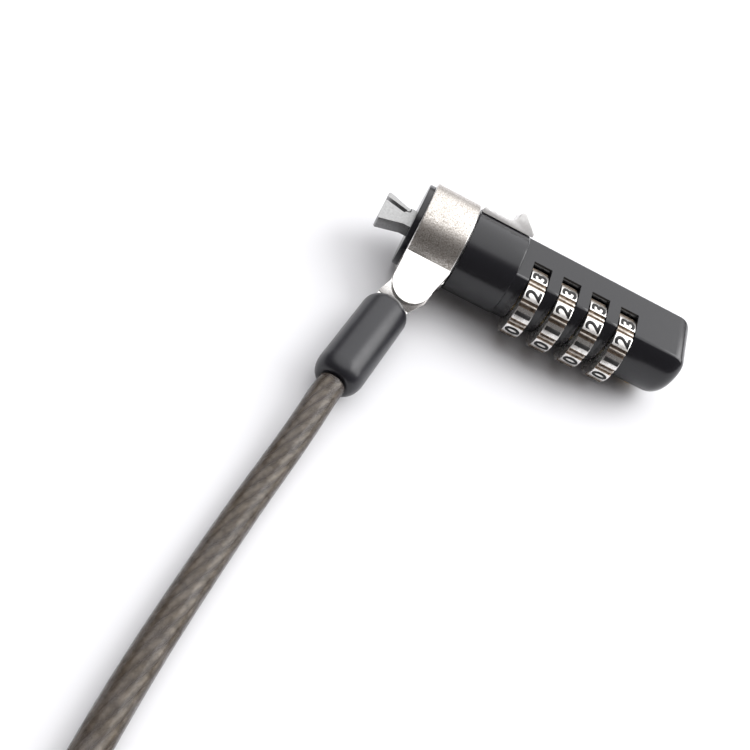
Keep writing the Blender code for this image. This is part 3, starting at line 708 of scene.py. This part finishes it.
# %% Lower half
SCREW_PLACES = ((0.0027, -0.0043), (0.0262, -0.0030))
lower, cuts = half_housing("housing_bottom", (SEAM_V - SEAM_HALF, 0.02))
keel = [(-0.0030, -AXIS_Z), (0.0020, -AXIS_Z), (0.0032, -0.0066), (0.0, -0.0050), (-0.0042, -0.0066)]
shaped(lower, [solid("keel", prism(keel, along_x, -0.0050, 0.0270))], "UNION")


def upright(x, w, low_v, high_v, radius, steps=40):
    return prism(arc(x, w, radius, 0, tau * (steps - 1) / steps, steps - 1), spot, low_v, high_v)


for x, w in SCREW_PLACES:
    cuts.append(solid("screw_hole", upright(x, w, -0.0100, -0.0030, 0.0010)))
    cuts.append(solid("head_hole", upright(x, w, -0.0100, -0.0057, 0.0018)))
cuts.append(solid("selector_hole", upright(0.0262, 0.0012, -0.0100, -0.0060, 0.00205)))
shaped(lower, cuts, edge=HOUSING_EDGE)
settle(lower, "lock_body", [BLACK], ["lower_housing"], 28)

# %% [markdown]
# ## The nose disc
# A thin black disc closes the front, and the anchor passes through its slot. It is a lathe shape with
# one rounded rim. It reaches slightly into the collar, so no gap shows between them.

# %% Nose disc
NOSE_X = extent("nose_disc", 0)
disc_rim = arc(NOSE_X[0] + 0.0002, NOSE_R - 0.0002, 0.0002, pi, pi / 2, 4)
disc = solid("front_disc", turned(disc_rim + [(NOSE_X[1] + 0.00025, NOSE_R)], steps=128))
slot_x = (NOSE_X[0] - 0.001, NOSE_X[1] + 0.001)
slot = solid("anchor_slot", block(slot_x, (-0.0026, 0.0026), (-0.0016, 0.0016)))
shaped(disc, [slot])
settle(disc, "lock_body", [BLACK], ["nose_disc"])

# %% [markdown]
# ## The anchor
# Two steel pieces pass through the laptop's slot together: a flared plate and a narrow jaw that
# swings in a notch beside its neck. Both are punched from sheet, so each is an outline pulled to the
# sheet's thickness. Their edges are slightly rounded, because a knife edge would catch no light.

# %% Anchor plates
TIP_X = extent("fixed_anchor", 0)[0]
THICK = [a - AXIS_Z for a in extent("fixed_anchor", 2)]
JAW_X, JAW_W = -0.0266, -0.00165
PUNCHED_EDGE = 0.00008


def plate_piece(name, outline):
    bm = prism(outline, spot, *THICK)
    return solid(name, rounded(bm, sharp_edges(bm, 35), PUNCHED_EDGE, 2))


fixed_outline = [
    (-0.0215, 0.0023), (-0.0264, 0.0023), (TIP_X + 0.0003, 0.0038), (TIP_X, 0.0035),
    (TIP_X, -0.0012), (TIP_X + 0.0003, -0.00135), (-0.0272, -0.0005), (-0.0268, -0.0009),
]
fixed_outline += arc(JAW_X, JAW_W, 0.00066, radians(105), radians(-60), 16)
fixed_outline += [(-0.0258, -0.0023), (-0.0215, -0.0023)]
plate = plate_piece("flared_plate", fixed_outline)
settle(plate, "lock_body", [ANCHOR], ["fixed_anchor"])

jaw_outline = arc(JAW_X, JAW_W, 0.00048, radians(95), radians(-95), 16)
jaw_outline += [
    (-0.0271, -0.0022), (TIP_X + 0.0004, -0.0036), (TIP_X, -0.0034), (TIP_X, -0.0024),
    (TIP_X + 0.0003, -0.00225), (-0.0270, -0.0014),
]
jaw = plate_piece("swing_jaw", jaw_outline)
settle(jaw, "jaw", [ANCHOR], ["moving_jaw"])

# %% [markdown]
# ## The collar and its ears
# The nickel collar turns round the lock's neck. Its round wall is bead-blasted and sparkles, and the
# flat ear on its side is polished. Two meshes would show a seam where they meet, so one mesh carries
# three finishes, chosen by where a face lies: blasted, polished, and satin on the rims.


# %% Collar
def collar_solid():
    front, back = extent("swivel_collar", 0)
    chamfer = 0.0003
    profile = arc(front + chamfer, COLLAR_R - chamfer, chamfer, pi, pi / 2, 4)
    profile += arc(back - chamfer, COLLAR_R - chamfer, chamfer, pi / 2, 0, 4)
    collar = solid("collar_ring", turned(profile, steps=160))
    outline = [(back - 0.0001, -0.0022), (front + 0.0001, -0.0022), (front + 0.0001, 0.0020)]
    outline += arc(-0.0202, 0.0050, 0.00375, pi, 0, 40) + [(back - 0.0001, 0.0006)]
    shaped(collar, [solid("ears", prism(outline, ear_place, 0.0, -0.0047))], "UNION")
    bore_hole = solid("collar_bore", rod(front - 0.001, back + 0.001, 0.00675, steps=128))
    gap = [(front - 0.002, 0.0009), (back + 0.002, 0.0009), (back + 0.002, 0.02), (front - 0.002, 0.02)]
    cleft = solid("ear_slot", prism(gap, ear_place, -0.0015, -0.0035))
    return shaped(collar, [bore_hole, cleft], edge=0.00012)


def choose_finish(thing):
    """Faces on the ears are polished, the round wall is blasted, and the rims are satin."""
    ear_up = (ear_place(0, 0, 1) - ear_place(0, 0, 0)).normalized()
    for face in thing.data.polygons:
        w = AXIS_Y - face.center.y
        on_top = face.normal.dot(ear_up) > 0.999 and w > CREASE_W - 0.0001
        if on_top or w > COLLAR_R:
            face.material_index = 1
            face.use_smooth = not on_top
        elif abs(face.normal.x) > 0.3:
            face.material_index = 2


collar = collar_solid()
settle(collar, "collar", [BLASTED, POLISHED, SATIN], ["swivel_collar"])
choose_finish(collar)

# %% [markdown]
# ## The thumb slide
# The slide sits on the far side of the barrel. Its top has small ribs, a scoop and a hooked ridge. All
# of them run straight across, so its side view is drawn once and pulled to its width. The barrel's own
# roundness is then cut out of its underside.


# %% Thumb slide
def slide_solid():
    top = [
        (-0.0146, 0.0083), (-0.0144, 0.0087), (-0.0140, 0.0087), (-0.0135, 0.00845), (-0.0131, 0.00845),
        (-0.0127, 0.00875), (-0.0123, 0.0087), (-0.0119, 0.0085), (-0.0113, 0.00865), (-0.0104, 0.00855),
        (-0.0095, 0.0086), (-0.0089, 0.0088), (-0.0084, 0.0092), (-0.0082, 0.0099), (-0.0081, 0.0105),
        (-0.0077, 0.01085), (-0.0072, 0.01085), (-0.0068, 0.0105), (-0.0043, 0.0083),
    ]
    outline = top + [(-0.0043, 0.0070), (-0.0146, 0.0070)]
    slide = solid("slide_button", prism(outline, slider_lift, -0.0029, 0.0029))
    under = solid("under", rod(-0.016, -0.003, BARREL_R + 0.0002, steps=128))
    shaped(slide, [under], edge=0.0001)
    stem = [(-0.0108, 0.0066), (-0.0088, 0.0066), (-0.0088, 0.0084), (-0.0108, 0.0084)]
    return shaped(slide, [solid("stem", prism(stem, slider_lift, -0.0011, 0.0011))], "UNION")


settle(slide_solid(), "slide", [PEARL], ["thumb_slider"], 40)

# %% [markdown]
# ## The dials
# Each dial has ten raised lands with a groove between each two, a low rib along the middle of
# each groove, and a digit on every land. The grooves are real geometry, because they show at the
# dial's edge. Their darkness is painted shade: the deep groove floors get a dark brown metal, and the
# shallow ribs a lighter one. A digit is made as text, turned into a mesh, and then bent round the
# dial, which needs no image and keeps its edges sharp.

# %% Dial wheels
FIRST_DIGIT = radians(-9.5)
STEP = tau / 10
LAND_HALF = 11.2
DIAL_LAND = [(LAND_HALF * share, 0.0) for share in (-1, -0.66, -0.33, 0, 0.33, 0.66, 1)]
DIAL_GROOVE = [
    (12.4, 0.00034), (15.6, 0.00036), (16.4, 0.00012), (18.0, 0.00008), (19.6, 0.00012),
    (20.4, 0.00036), (23.6, 0.00034),
]


def dial_outline():
    """Angles run from the cable side over the top, as the digits count up."""
    outline = []
    for k in range(10):
        middle_turn = FIRST_DIGIT + STEP * k
        for offset, depth in DIAL_LAND + DIAL_GROOVE:
            outline.append((middle_turn + radians(offset), DIAL_R - depth))
    return [(DIAL_W + r * cos(t), DIAL_V + r * sin(t)) for t, r in outline]


def dial_wheel(index, centre):
    half = DIAL_WIDTH / 2
    bm = prism(dial_outline(), along_x, centre.x - half, centre.x + half)
    rims = [e for e in bm.edges if abs(e.verts[0].co.x - e.verts[1].co.x) < 1e-7]
    rounded(bm, rims, 0.00012, 2)
    wheel = solid(f"dial_wheel_{index}", bm)
    hole = solid("hole", rod(centre.x - 0.004, centre.x + 0.004, 0.00265, DIAL_W, DIAL_V, 64))
    shaped(wheel, [hole])
    # The lands keep the dial face metal. The grooves take the two painted-shade metals.
    finishes = [DIAL_FACE, PAINTED_GROOVE_SHADE, PAINTED_RIB_SHADE]
    settle(wheel, f"dial_wheel_{index}", finishes, [f"dial_{index}"], 25)
    # Faces in the deep groove floors get the darker painted shade, and the ribs in their middle get the
    # lighter painted shade.
    for face in wheel.data.polygons:
        w, v = AXIS_Y - face.center.y - DIAL_W, face.center.z - AXIS_Z - DIAL_V
        turn_from = (atan2(v, w) - FIRST_DIGIT + STEP / 2) % STEP - STEP / 2
        if abs(turn_from) > radians(LAND_HALF + 0.3) and (w * w + v * v) ** 0.5 > DIAL_R - 0.0006:
            face.material_index = 1 if abs(turn_from) < radians(16) else 2
    return wheel


wheels = [dial_wheel(i, centre) for i, centre in enumerate(DIALS, 1)]
print(len(wheels), "dials")


# %% Digits
STROKE_OFFSET, ONE_SHARE = 0.028, 0.45
DIGIT_LIFT, INK_THICK = 0.00003, 0.00005


def digit_mesh(text, height, width):
    """A digit as a flat mesh, scaled to its height and width and centred."""
    letter = bpy.data.curves.new("digit", "FONT")
    letter.body = text
    letter.resolution_u = 4
    letter.offset = STROKE_OFFSET
    holder = bpy.data.objects.new("digit", letter)
    bpy.context.scene.collection.objects.link(holder)
    bpy.context.view_layer.update()
    graph = bpy.context.evaluated_depsgraph_get()
    mesh = bpy.data.meshes.new_from_object(holder.evaluated_get(graph))
    bpy.data.objects.remove(holder, do_unlink=True)
    bm = bmesh.new()
    bm.from_mesh(mesh)
    low = Vector([min(v.co[i] for v in bm.verts) for i in range(3)])
    high = Vector([max(v.co[i] for v in bm.verts) for i in range(3)])
    size = high - low
    wide = width if text != "1" else width * ONE_SHARE
    bmesh.ops.translate(bm, verts=bm.verts, vec=-(low + high) / 2)
    bmesh.ops.scale(bm, verts=bm.verts, vec=(wide / size.x, height / size.y, 1))
    return bm


def ring_of_digits(index, centre, height=0.0029, width=0.00185):
    """All ten digits of a dial, bent round it, a hair above the lands."""
    whole = bmesh.new()
    for k in range(10):
        bm = digit_mesh(str(k), height, width)
        bmesh.ops.subdivide_edges(bm, edges=bm.edges, cuts=1)
        for vert in bm.verts:
            angle = FIRST_DIGIT + STEP * k + vert.co.x / DIAL_R
            radius = DIAL_R + DIGIT_LIFT
            vert.co = spot(centre.x - vert.co.y, DIAL_W + radius * cos(angle), DIAL_V + radius * sin(angle))
        part = bpy.data.meshes.new("part")
        bm.to_mesh(part)
        bm.free()
        whole.from_mesh(part)
    mesh = bpy.data.meshes.new(f"digits_{index}")
    whole.to_mesh(mesh)
    whole.free()
    digits = bpy.data.objects.new(f"digits_{index}", mesh)
    bpy.context.scene.collection.objects.link(digits)
    thicken = digits.modifiers.new("thickness", "SOLIDIFY")
    thicken.thickness = INK_THICK
    thicken.offset = 0
    return settle(digits, f"dial_wheel_{index}", [INK], smooth=60)


digits = [ring_of_digits(i, centre) for i, centre in enumerate(DIALS, 1)]
print(len(digits), "rings of digits")

# %% [markdown]
# ## The pieces inside
# The core, the spindle, the sleeves and the springs are hidden in the closed lock. They keep their
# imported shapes, and get the metal that each would be made of.

# %% Inner metals
INNER = {
    "core_block": ZINC, "slide_yoke": ZINC, "draw_bar": STEEL, "spindle": STEEL, "return_spring": STEEL,
    "detent_spring": STEEL, "housing_screw_1": STEEL, "housing_screw_2": STEEL, "ear_rivet": STEEL,
    "reset_selector": BRASS,
}
INNER.update({f"clutch_sleeve_{i}": BRASS for i in range(1, 5)})
for name, material in INNER.items():
    nodes[name].data.materials.clear()
    nodes[name].data.materials.append(material)
print(len(INNER), "inner pieces painted")

# %% [markdown]
# ## Floor and light
# The lock lies on a plain, wide, pale sheet. The sky is brightest overhead, a little to the far side,
# and dark on the near side. So a gloss surface gets a pale band where it faces up, and stays dark where
# it faces the camera. One soft light at the side gives the shadows a direction. The plain standard view
# keeps the sheet near white and the blacks deep.


# %% Floor
def floor():
    bm = bmesh.new()
    bmesh.ops.create_grid(bm, x_segments=1, y_segments=1, size=12)
    sheet = solid("floor", bm)
    sheet.location.z = -0.0001
    sheet.data.materials.append(new_finish("pale_sheet", (0.80, 0.80, 0.82), 0.75)[0])
    return sheet


print("floor", [round(side, 2) for side in floor().dimensions])


# %% Lights
def soft_light(name, place, target, size, power, colour=(1, 1, 1)):
    lamp = bpy.data.lights.new(name, "AREA")
    lamp.shape = "RECTANGLE"
    lamp.size, lamp.size_y = size
    lamp.energy = power
    lamp.color = colour
    holder = bpy.data.objects.new(name, lamp)
    holder.location = place
    holder.rotation_euler = (Vector(target) - Vector(place)).to_track_quat("-Z", "Y").to_euler()
    bpy.context.scene.collection.objects.link(holder)
    return holder


key = soft_light("key", (0.50, 0.20, 0.42), (0, 0, 0), (0.60, 0.60), 4.0)
print("key light", key.data.energy, "W")


# %% World
def studio_sky(tilt, stops, strength):
    """A sky whose brightness falls away from one high point, which leans to the far side."""
    made = bpy.data.worlds.new("studio")
    made.use_nodes = True
    tree = made.node_tree
    place = tree.nodes.new("ShaderNodeTexCoord")
    nearness = tree.nodes.new("ShaderNodeVectorMath")
    nearness.operation = "DOT_PRODUCT"
    nearness.inputs[1].default_value = (0.0, sin(tilt), cos(tilt))
    tree.links.new(place.outputs["Generated"], nearness.inputs[0])
    background = tree.nodes["Background"]
    tree.links.new(ramp(tree, nearness.outputs["Value"], stops), background.inputs["Color"])
    background.inputs["Strength"].default_value = strength
    return made


SKY = (
    (0.00, (0.070, 0.066, 0.065)), (0.50, (0.085, 0.080, 0.080)), (0.62, (0.26, 0.25, 0.25)),
    (0.72, (0.85, 0.85, 0.86)), (1.00, (1.0, 1.0, 1.0)),
)
bpy.context.scene.world = studio_sky(radians(28), SKY, 2.1)
bpy.context.scene.view_settings.view_transform = "Standard"
print("sky made, view", bpy.context.scene.view_settings.view_transform)
